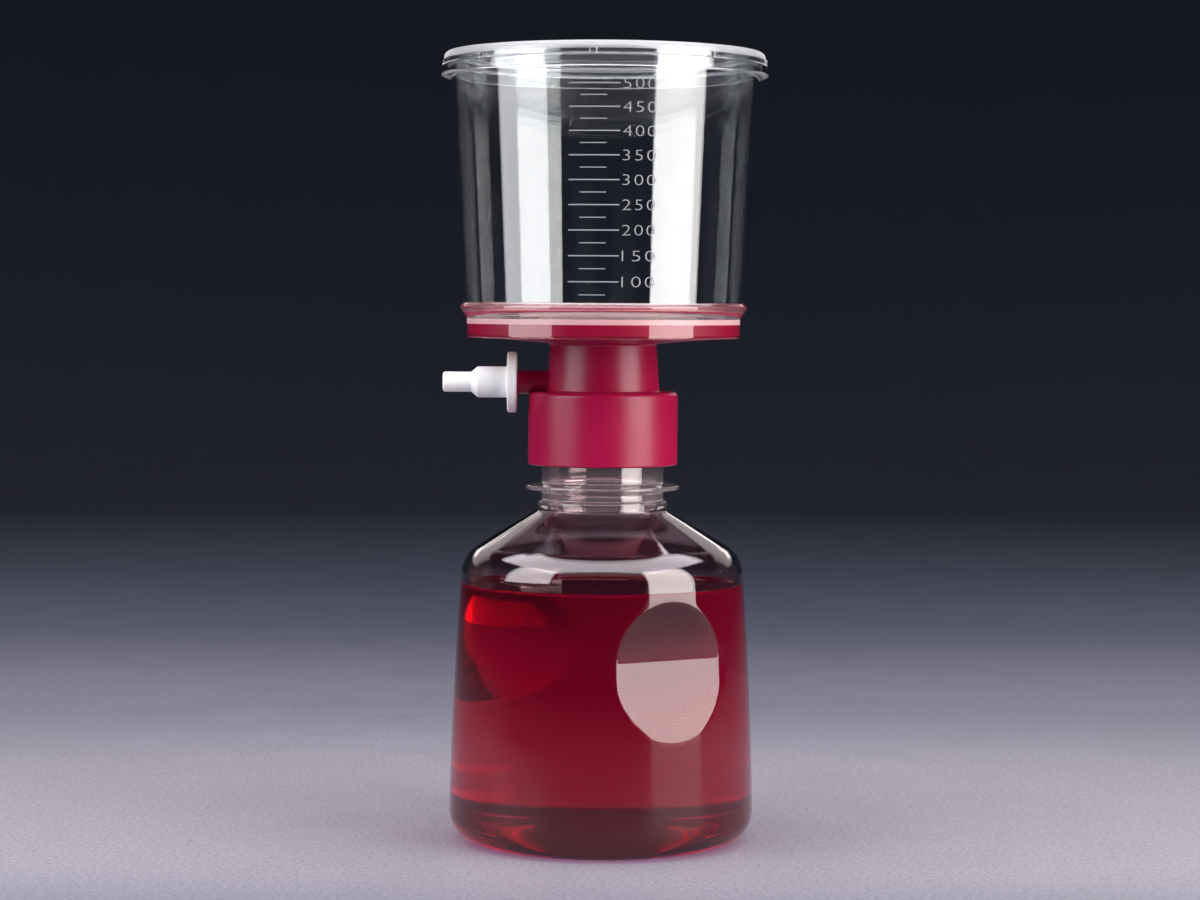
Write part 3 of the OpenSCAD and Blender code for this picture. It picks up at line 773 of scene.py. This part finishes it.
class FILTRATION_OT_chamber(bpy.types.Operator):
    """Clear flared bowl with its skirt, a pale frosted band painted as a highlight line, stacking bead and
    clamp ring
    """

    bl_idname = "filtration.chamber"
    bl_label = "Upper Chamber"

    def execute(self, context):
        c, colours = context.scene.filtration_chamber, context.scene.filtration_colours
        low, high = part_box("upper_chamber")
        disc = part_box("membrane")[1]
        groove_z, slope_z, bead_z, wall_z = chamber_levels(c)
        skirt_in_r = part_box("filter_base")[1].x - c.weld
        skirt_r = skirt_in_r + c.skirt_wall
        pale_band_z = slope_z - c.weld_h
        foot_r, top_r = bowl_radii(c)
        rim_r = top_r + c.rim_out
        clamp_r = disc.x - c.clamp_w
        path = [
            corner(skirt_in_r, low.z, THIN),
            corner(skirt_r, low.z, SOFT),
            corner(skirt_r, pale_band_z),
            corner(skirt_r, slope_z, SOFT),
            corner(skirt_r + c.bead_out, bead_z, SOFT),
            corner(skirt_r + c.bead_out, wall_z, SOFT),
            corner(foot_r, wall_z, SOFT),
            corner(top_r, high.z - c.rim_h, THIN),
            corner(rim_r, high.z - c.rim_h, THIN),
            corner(rim_r, high.z, THIN),
            corner(top_r - c.bowl_wall, high.z, THIN),
            corner(foot_r - c.bowl_wall, wall_z - c.bowl_blend, c.bowl_blend),
            corner(clamp_r, groove_z + c.floor_t, FULL),
            corner(clamp_r, disc.z, THIN),
            corner(disc.x, disc.z, THIN),
            corner(disc.x, groove_z, THIN),
            corner(skirt_in_r, groove_z, THIN),
        ]
        rows = trace(path, ring=True)
        r, z = rows.T
        # Rows of the pale frosted band on the skirt under the slope, a painted highlight line.
        painted_band = (r > skirt_r - EDGE) & (z > pale_band_z - EDGE / 2) & (z < slope_z)
        # Rows below the bowl's foot take that tint of painted red light and shade.
        finish_of_row = np.where(painted_band, 2, z < wall_z + EDGE).astype(int)
        finishes = [
            clear_material("chamber_clear", CHAMBER_INDEX, BOWL, colours.clear),
            clear_material("chamber_foot", CHAMBER_INDEX, BOWL, colours.low),
            # Pale pink frosted finish of the painted highlight line.
            frosted_material("chamber_weld", 0.5, (0.93, 0.7, 0.68), (0.84, 0.5, 0.5)),
        ]
        azimuth = even_turn(240)
        radius = np.repeat(rows[:, :1], len(azimuth), axis=1)
        piece = revolve("clear_chamber", rows, radius, azimuth, finishes, finish_of_row)
        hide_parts("upper_chamber")
        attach(piece, "head")
        return {"FINISHED"}


class FILTRATION_OT_lid(bpy.types.Operator):
    """Loose clear lid, with a ribbed groove, a bead and a locating ring"""

    bl_idname = "filtration.lid"
    bl_label = "Lid"

    def execute(self, context):
        d, c = context.scene.filtration_lid, context.scene.filtration_chamber
        low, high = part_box("lid")
        under_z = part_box("upper_chamber")[1].z
        top_r = bowl_radii(c)[1]
        in_r = top_r + c.rim_out + d.gap
        out_r = in_r + d.wall
        bead_z = low.z + d.bead_h
        rib_z = bead_z + d.rib_h
        ring_r = top_r - c.bowl_wall - d.gap
        path = [
            corner(0, under_z),
            corner(ring_r - d.ring_w, under_z, THIN),
            corner(ring_r - d.ring_w, under_z - d.ring_h, THIN),
            corner(ring_r, under_z - d.ring_h, THIN),
            corner(ring_r, under_z, THIN),
            corner(in_r, under_z, THIN),
            corner(in_r, low.z, THIN),
            corner(out_r + d.bead_out, low.z, SOFT),
            corner(out_r + d.bead_out, bead_z, SOFT),
            corner(out_r, bead_z, THIN),
            # The ribs' tops slope between these two rows.
            curve(out_r, rib_z + np.array([-0.1, 0.1]) * MM),
            corner(out_r, high.z, d.top_round),
            corner(0, high.z),
        ]
        rows = trace(path)
        r, z = rows.T
        azimuth, beside = self.ribs(d, out_r)
        ribbed = (z > bead_z - EDGE) & (z < rib_z) & (r >= out_r - EDGE) & (r < out_r + d.rib_out)
        rise = ribbed * np.maximum(out_r + d.rib_out - r, 0)
        radius = r[:, None] + rise[:, None] * beside[None, :]
        outside = np.arange(len(rows)) > len(rows) // 2
        frosted = outside & (z > high.z - d.frost_h) & (r > out_r - d.frost_w)
        tint = context.scene.filtration_colours.clear
        finishes = [
            clear_material("lid_clear", CHAMBER_INDEX, COVER, tint),
            frosted_material("lid_frosted", 0.75, shade(tint, 0.76), shade(tint, 0.68)),
        ]
        piece = revolve("clear_lid", rows, radius, azimuth, finishes, frosted.astype(int))
        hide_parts("lid")
        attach(piece, "cover")
        return {"FINISHED"}

    def ribs(self, d, out_r):
        """Angles once round, close together at the ribs, and how much of a rib stands at each. A rib's
        flanks are centred on its edges, and flank is half the angle that one of them spans."""
        pitch = 2 * math.pi / d.ribs
        half, flank = d.rib_w / 2 / out_r, 0.12 * MM / out_r
        crest = np.linspace(-half + 2 * flank, half - 2 * flank, 3)
        plain = np.linspace(half + 3 * flank, pitch - half - 3 * flank, 24)
        flanks = np.array([-half - flank, -half + flank, half - flank, half + flank])
        one = np.concatenate([flanks[:2], crest, flanks[2:], plain])
        azimuth = (np.arange(d.ribs)[:, None] * pitch + one[None, :]).ravel()
        from_rib = np.abs((azimuth + pitch / 2) % pitch - pitch / 2)
        return azimuth - d.rib_angle, smooth_step((half + flank - from_rib) / (2 * flank))


def bowl_outside(z):
    """Outer radius of the bowl at each height."""
    c = bpy.context.scene.filtration_chamber
    foot_r, top_r = bowl_radii(c)
    foot_z, top_z = chamber_levels(c)[3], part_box("upper_chamber")[1].z - c.rim_h
    return foot_r + (top_r - foot_r) * (z - foot_z) / (top_z - foot_z)


def scale_heights(g, volumes):
    """Height of each volume's line, from those at 100 and 500 mL. The lines draw together upwards, because
    the bowl widens."""
    share = (volumes - 100) / 400
    return g.lowest_z + (g.highest_z - g.lowest_z) * (share + g.taper * share * (1 - share))


def wrapped(g, flat, z_mid):
    """Flat points carried on to the bowl: x goes round it from the scale's azimuth, y up it, and z stands
    out of it, from a fifth of the ink's thickness."""
    z = flat[:, 1] + z_mid
    turn = g.azimuth + flat[:, 0] / bowl_outside(z_mid)
    return around(bowl_outside(z) + flat[:, 2] + g.ink_t * 0.2, z, turn)


class FILTRATION_OT_scale(bpy.types.Operator):
    """White printed scale in millilitres: a line at each 25 and a numeral at each 50"""

    bl_idname = "filtration.scale"
    bl_label = "Printed Scale"

    def execute(self, context):
        g = context.scene.filtration_scale
        lines, numerals = [], []
        volumes = np.arange(75, 501, 25)
        for volume, z in zip(volumes, scale_heights(g, volumes)):
            if volume % 50 == 0:
                lines.append(self.line(g, -g.major_w, 0, g.line_h, z))
                numerals.append(self.numeral(g, volume, z))
            else:
                lines.append(self.line(g, -g.minor_in - g.minor_w, -g.minor_in, g.line_h * 0.8, z))
        self.join(context, "scale_lines", lines)
        self.join(context, "scale_numerals", numerals)
        return {"FINISHED"}

    def line(self, g, left, right, height, z):
        """A thin bar carried round the bowl: four corners at each of a row of stations."""
        x = np.linspace(right, left, 13)
        y = np.array([-0.5, 0.5, 0.5, -0.5]) * height
        out = np.array([1, 1, 0, 0]) * g.ink_t
        flat = np.column_stack([np.repeat(x, 4), np.tile(y, len(x)), np.tile(out, len(x))])
        return wrapped(g, flat, z), bar(len(x)), NO_TRIANGLES

    def numeral(self, g, volume, z):
        """A numeral in a light, widely spaced face, given the ink's thickness, fitted to its width and
        height, and wrapped round the bowl."""
        text = bpy.data.curves.new("numeral", "FONT")
        text.body = str(volume)
        text.extrude = 0.5
        text.offset = -0.018
        text.space_character = 1.15
        text.resolution_u = 3
        holder = bpy.data.objects.new("numeral", text)
        bpy.context.scene.collection.objects.link(holder)
        bpy.context.view_layer.update()
        solid = holder.evaluated_get(bpy.context.evaluated_depsgraph_get())
        mesh = bpy.data.meshes.new_from_object(solid)
        mesh.calc_loop_triangles()
        points = np.zeros(len(mesh.vertices) * 3)
        triangles = np.zeros(len(mesh.loop_triangles) * 3, int)
        mesh.vertices.foreach_get("co", points)
        mesh.loop_triangles.foreach_get("vertices", triangles)
        bpy.data.objects.remove(holder)
        bpy.data.curves.remove(text)
        bpy.data.meshes.remove(mesh)
        points = points.reshape(-1, 3)
        flat = (points - points.min(axis=0)) / np.ptp(points, axis=0) * [g.digits_w, g.digits_h, g.ink_t]
        flat[:, :2] += [g.digits_gap, -g.digits_h / 2]
        return wrapped(g, flat, z), NO_QUADS, triangles.reshape(-1, 3)

    def join(self, context, name, parts):
        """One piece of all the parts, each as (points, quads, triangles)."""
        points, quads, triangles = zip(*parts)
        starts = np.cumsum([0] + [len(part) for part in points])
        quads = np.vstack([part + start for part, start in zip(quads, starts)])
        triangles = np.vstack([part + start for part, start in zip(triangles, starts)])
        ink = ink_material(context.scene.filtration_colours.ink)
        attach(build_mesh(name, np.vstack(points), quads, triangles, [ink], smooth=False), "head")


def ink_material(ink):
    """Matt printed ink, made once for the lines and the numerals."""
    name = "scale_ink"
    if name in bpy.data.materials:
        return bpy.data.materials[name]
    return solid_material(
        name, ink, shade(ink, 0.8), 900, (300, 0.35, 0.55), (300, 1, 4000, 0.4), 0.004 * MM
    )


# The filter base, the adapter and the hidden pieces


class FILTRATION_OT_collar_thread(bpy.types.Operator):
    """Ridge of the screw thread inside the red collar"""

    bl_idname = "filtration.collar_thread"
    bl_label = "Collar Thread"

    def execute(self, context):
        """The ridge is a trapezium carried along a helix. Across it lie four corners, and along it the
        number of turns."""
        t = context.scene.filtration_thread
        neck_low = thread_low(t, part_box("receiver_bottle")[1].z)
        lowest_z = neck_low - (t.root_w + t.crest_w) / 2 - t.play
        turn = np.linspace(0, t.turns, 180)[:, None]
        height = t.sunk + t.depth * run_out(t, turn)
        inward = np.array([[0, 0, 1, 1]])
        across = np.array([[-t.root_w, t.root_w, t.crest_w, -t.crest_w]]) / 2
        radius = t.collar_in_r + t.sunk - inward * height
        z = lowest_z + turn * t.pitch + across
        points = around(radius, z, 2 * math.pi * turn + 0 * radius).reshape(-1, 3)
        piece = build_mesh(
            "collar_thread", points, bar(len(turn)), NO_TRIANGLES, [red_plastic()], smooth=False
        )
        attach(piece, "head")
        return {"FINISHED"}


def red_plastic():
    """Crimson moulded plastic with a soft sheen, made once for the filter base and its thread."""
    name = "red_plastic"
    if name in bpy.data.materials:
        return bpy.data.materials[name]
    red = bpy.context.scene.filtration_colours.red
    return solid_material(
        name, red, shade(red, 0.88), 90, (60, 0.29, 0.38), (120, 0.3, 2600, 0.5), 0.02 * MM, IOR=1.44
    )


class FILTRATION_OT_mouldings(bpy.types.Operator):
    """Finishes of the filter base, adapter, support plate, membrane, gasket and cotton plug"""

    bl_idname = "filtration.mouldings"
    bl_label = "Opaque Mouldings"

    def execute(self, context):
        colours = context.scene.filtration_colours
        white, membrane, gasket = colours.white, colours.membrane, colours.gasket
        finishes = {
            "filter_base": red_plastic(),
            "hose_adapter": solid_material(
                "white_plastic", white, shade(white, 0.93), 120, (70, 0.38, 0.52),
                (150, 0.3, 2400, 0.5), 0.02 * MM,
                IOR=1.49, Subsurface_Weight=0.15, Subsurface_Scale=1.5 * MM,
            ),
            "support_plate": solid_material(
                "plate_plastic", shade(white, 0.97), shade(white, 0.9), 90, (60, 0.4, 0.55),
                (90, 0.3, 1800, 0.6), 0.02 * MM,
            ),
            "membrane": solid_material(
                "membrane_paper", membrane, shade(membrane, 0.94), 260, (90, 0.75, 0.95),
                (400, 0.4, 3500, 1), 0.03 * MM,
            ),
            "neck_gasket": solid_material(
                "gasket_rubber", gasket, shade(gasket, 0.9), 150, (80, 0.45, 0.6),
                (200, 0.3, 2200, 0.6), 0.02 * MM,
            ),
            "cotton_plug": solid_material(
                "cotton_wool", shade(membrane, 1.02), shade(membrane, 0.85), 900, (300, 0.9, 1),
                (700, 1, 2500, 1), 0.2 * MM, Sheen_Weight=0.4,
            ),
        }
        for node, material in finishes.items():
            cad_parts[node].material_slots[0].material = material
        return {"FINISHED"}


# The stage

# The floor's painted pool of light, which stands in for the lamps' light falling off away from the unit:
# pairs of a distance in metres and how much of the near colour is left there. The second constant below is
# the distance at the end of its ramp.
LIGHT_POOL = ((0.12, 0.76), (0.33, 0.42), (0.65, 0.15), (1.0, 0.1), (1.6, 0.1), (2.3, 0.05))
LIGHT_POOL_END = 2.5
# A distance to the sides counts less in the painted pool than one behind the unit, and one in front counts
# more.
ASIDE, AHEAD = 0.45, 2.4


def floor_material():
    """Pale speckled laminate with a painted pool of light, which darkens with the distance from the unit."""
    colours = bpy.context.scene.filtration_colours
    material, tree, shader, _ = new_material("floor_laminate", Specular_IOR_Level=0.2)
    place = add_node(tree, "TexCoord", {}).outputs["Object"]
    parts = add_node(tree, "SeparateXYZ", {0: place}).outputs
    # Painted pool of light: a stretched distance from the unit, longer in front and shorter to the sides.
    depth = sums(tree, "MAXIMUM", parts["Y"], sums(tree, "MULTIPLY", parts["Y"], -AHEAD))
    side = sums(tree, "MULTIPLY", parts["X"], ASIDE)
    joined = add_node(tree, "CombineXYZ", {"X": side, "Y": depth, "Z": parts["Z"]}).outputs[0]
    distance = add_node(tree, "VectorMath", {0: joined}, operation="LENGTH").outputs["Value"]
    ramp = add_node(tree, "ValToRGB", {0: sums(tree, "DIVIDE", distance, LIGHT_POOL_END)})
    ramp.color_ramp.interpolation = "EASE"
    stops = ramp.color_ramp.elements
    while len(stops) < len(LIGHT_POOL):
        stops.new(0.5)
    for stop, (at, level) in zip(stops, LIGHT_POOL):
        stop.position = at / LIGHT_POOL_END
        stop.color = (level, level, level, 1)
    near = drifting(tree, 700, shade(colours.floor, 0.3), shade(colours.floor, 1.7))
    base = mixed(tree, ramp.outputs[0], (*colours.backdrop, 1), near)
    finish(tree, shader, base, (30, 0.45, 0.6), (200, 0.3, 1500, 1), 0.03 * MM)
    return material


def panel(name, place, aim, size, radiance, tint):
    """A rectangular lamp at a place, facing another, with the same radiance all over it. The camera doesn't
    see it directly, but it shows through clear plastic that stands before it."""
    data = bpy.data.lights.new(name, "AREA")
    data.shape = "RECTANGLE"
    data.size, data.size_y = size
    data.energy = radiance * math.pi * size[0] * size[1]
    data.color = tint
    lamp = bpy.data.objects.new(name, data)
    lamp.location = place
    lamp.rotation_euler = (Vector(aim) - Vector(place)).to_track_quat("-Z", "Y").to_euler()
    lamp.visible_camera = False
    bpy.context.scene.collection.objects.link(lamp)


def softbox(name, azimuth, half, low_z, high_z, distance, radiance, tint):
    """An upright panel that faces the axis at a distance. It spans half an angle, in degrees, on both sides
    of an azimuth that counts from the front towards +X."""
    a, mid_z = math.radians(azimuth), (low_z + high_z) / 2
    place = (distance * math.sin(a), -distance * math.cos(a), mid_z)
    width = 2 * distance * math.tan(math.radians(half))
    panel(name, place, (0, 0, mid_z), (width, high_z - low_z), radiance, tint)


class FILTRATION_OT_stage(bpy.types.Operator):
    """Pale floor, dark surroundings, soft lamps and the camera"""

    bl_idname = "filtration.stage"
    bl_label = "Stage"

    def execute(self, context):
        v = context.scene.filtration_stage
        self.floor(v)
        self.surroundings(context)
        self.lamps()
        self.camera(context, v)
        return {"FINISHED"}

    def floor(self, v):
        """A flat disc, a quarter of a circle up from its edge, and an upright wall, as one profile round
        the axis."""
        flat = v.floor_r * np.linspace(0, 1, 13)[1:] ** 2
        bend = np.linspace(0, math.pi / 2, 25)[1:]
        radius = np.concatenate([flat, v.floor_r + v.cove_r * np.sin(bend), [v.floor_r + v.cove_r]])
        height = np.concatenate([0 * flat, v.cove_r * (1 - np.cos(bend)), [v.wall_z]])
        columns = 128
        grid = around(radius[:, None], height[:, None], even_turn(columns)[None, :])
        quads = skin(len(radius), columns, False)[:, ::-1]
        j = np.arange(columns)
        points = np.vstack([grid.reshape(-1, 3), [[0, 0, 0]]])
        fan = np.column_stack([j, (j + 1) % columns, np.full(columns, len(points) - 1)])
        floor = build_mesh("floor", points, quads, fan, [floor_material()])

    def surroundings(self, context):
        world = bpy.data.worlds.new("surroundings")
        world.use_nodes = True
        back = next(n for n in world.node_tree.nodes if n.type == "BACKGROUND")
        back.inputs["Color"].default_value = (0.01, 0.01, 0.012, 1)
        context.scene.world = world

    def lamps(self):
        """Two tall softboxes beside the camera and a wide panel overhead. Behind the unit, high up on each
        side, stand a dim panel and a narrow lamp."""
        warm, cool, lilac = (1, 0.975, 0.95), (0.95, 0.96, 1), (0.97, 0.93, 1)
        softbox(
            "right_softbox", azimuth=57.5, half=20.5, low_z=0.004, high_z=0.58, distance=0.56,
            radiance=6.2, tint=warm,
        )
        softbox(
            "left_softbox", azimuth=-62.5, half=20.5, low_z=0.11, high_z=0.54, distance=0.5,
            radiance=4.4, tint=cool,
        )
        panel(
            "overhead", place=(0, -0.12, 0.85), aim=(0, -0.12, 0), size=(1.7, 1.25), radiance=3.9,
            tint=lilac,
        )
        for side in (-1, 1):
            panel(
                "side_panel", place=(side * 0.72, 1.15, 0.62), aim=(0, 0, 0.1), size=(0.8, 0.46),
                radiance=0.5, tint=warm,
            )
            panel(
                "back_lamp", place=(side * 0.45, 1.24, 0.46), aim=(0, 0, 0.1), size=(0.5, 0.07),
                radiance=1.6, tint=warm,
            )

    def camera(self, context, v):
        data = bpy.data.cameras.new("camera")
        data.lens = v.camera_lens
        data.sensor_width = 36
        camera = bpy.data.objects.new("camera", data)
        place = Matrix.Translation((-v.camera_x, -v.camera_back, v.camera_z))
        tilt = Matrix.Rotation(math.pi / 2 - v.camera_tilt, 4, "X")
        camera.matrix_world = place @ tilt @ Matrix.Rotation(v.camera_roll, 4, "Z")
        context.scene.collection.objects.link(camera)
        context.scene.camera = camera
        context.scene.view_settings.view_transform = "Standard"
        cycles = context.scene.cycles
        cycles.max_bounces = 24
        cycles.transmission_bounces = 24
        cycles.glossy_bounces = 12
        cycles.transparent_max_bounces = 32
        cycles.caustics_refractive = False
        cycles.caustics_reflective = False


class FILTRATION_PT_panel(bpy.types.Panel):
    bl_label = "Vacuum Filtration Unit"
    bl_space_type = "VIEW_3D"
    bl_region_type = "UI"
    bl_category = "Filtration"

    def draw(self, context):
        for step in STEPS:
            self.layout.operator(step.bl_idname)


GROUPS = {
    "filtration_bottle": BottleSizes,
    "filtration_thread": ThreadSizes,
    "filtration_filtrate": FiltrateSizes,
    "filtration_chamber": ChamberSizes,
    "filtration_lid": LidSizes,
    "filtration_scale": ScaleSizes,
    "filtration_colours": UnitColours,
    "filtration_stage": StageSettings,
}
STEPS = (
    FILTRATION_OT_stage,
    FILTRATION_OT_bottle,
    FILTRATION_OT_filtrate,
    FILTRATION_OT_chamber,
    FILTRATION_OT_lid,
    FILTRATION_OT_scale,
    FILTRATION_OT_collar_thread,
    FILTRATION_OT_mouldings,
)


def register():
    for kind in (*GROUPS.values(), *STEPS, FILTRATION_PT_panel):
        bpy.utils.register_class(kind)
    for name, group in GROUPS.items():
        setattr(bpy.types.Scene, name, PointerProperty(type=group))


def unregister():
    for name in GROUPS:
        delattr(bpy.types.Scene, name)
    for kind in reversed((*GROUPS.values(), *STEPS, FILTRATION_PT_panel)):
        bpy.utils.unregister_class(kind)


def main():
    register()
    for step in STEPS:
        getattr(bpy.ops.filtration, step.bl_idname.partition(".")[2])()


if __name__ == "__main__":
    main()
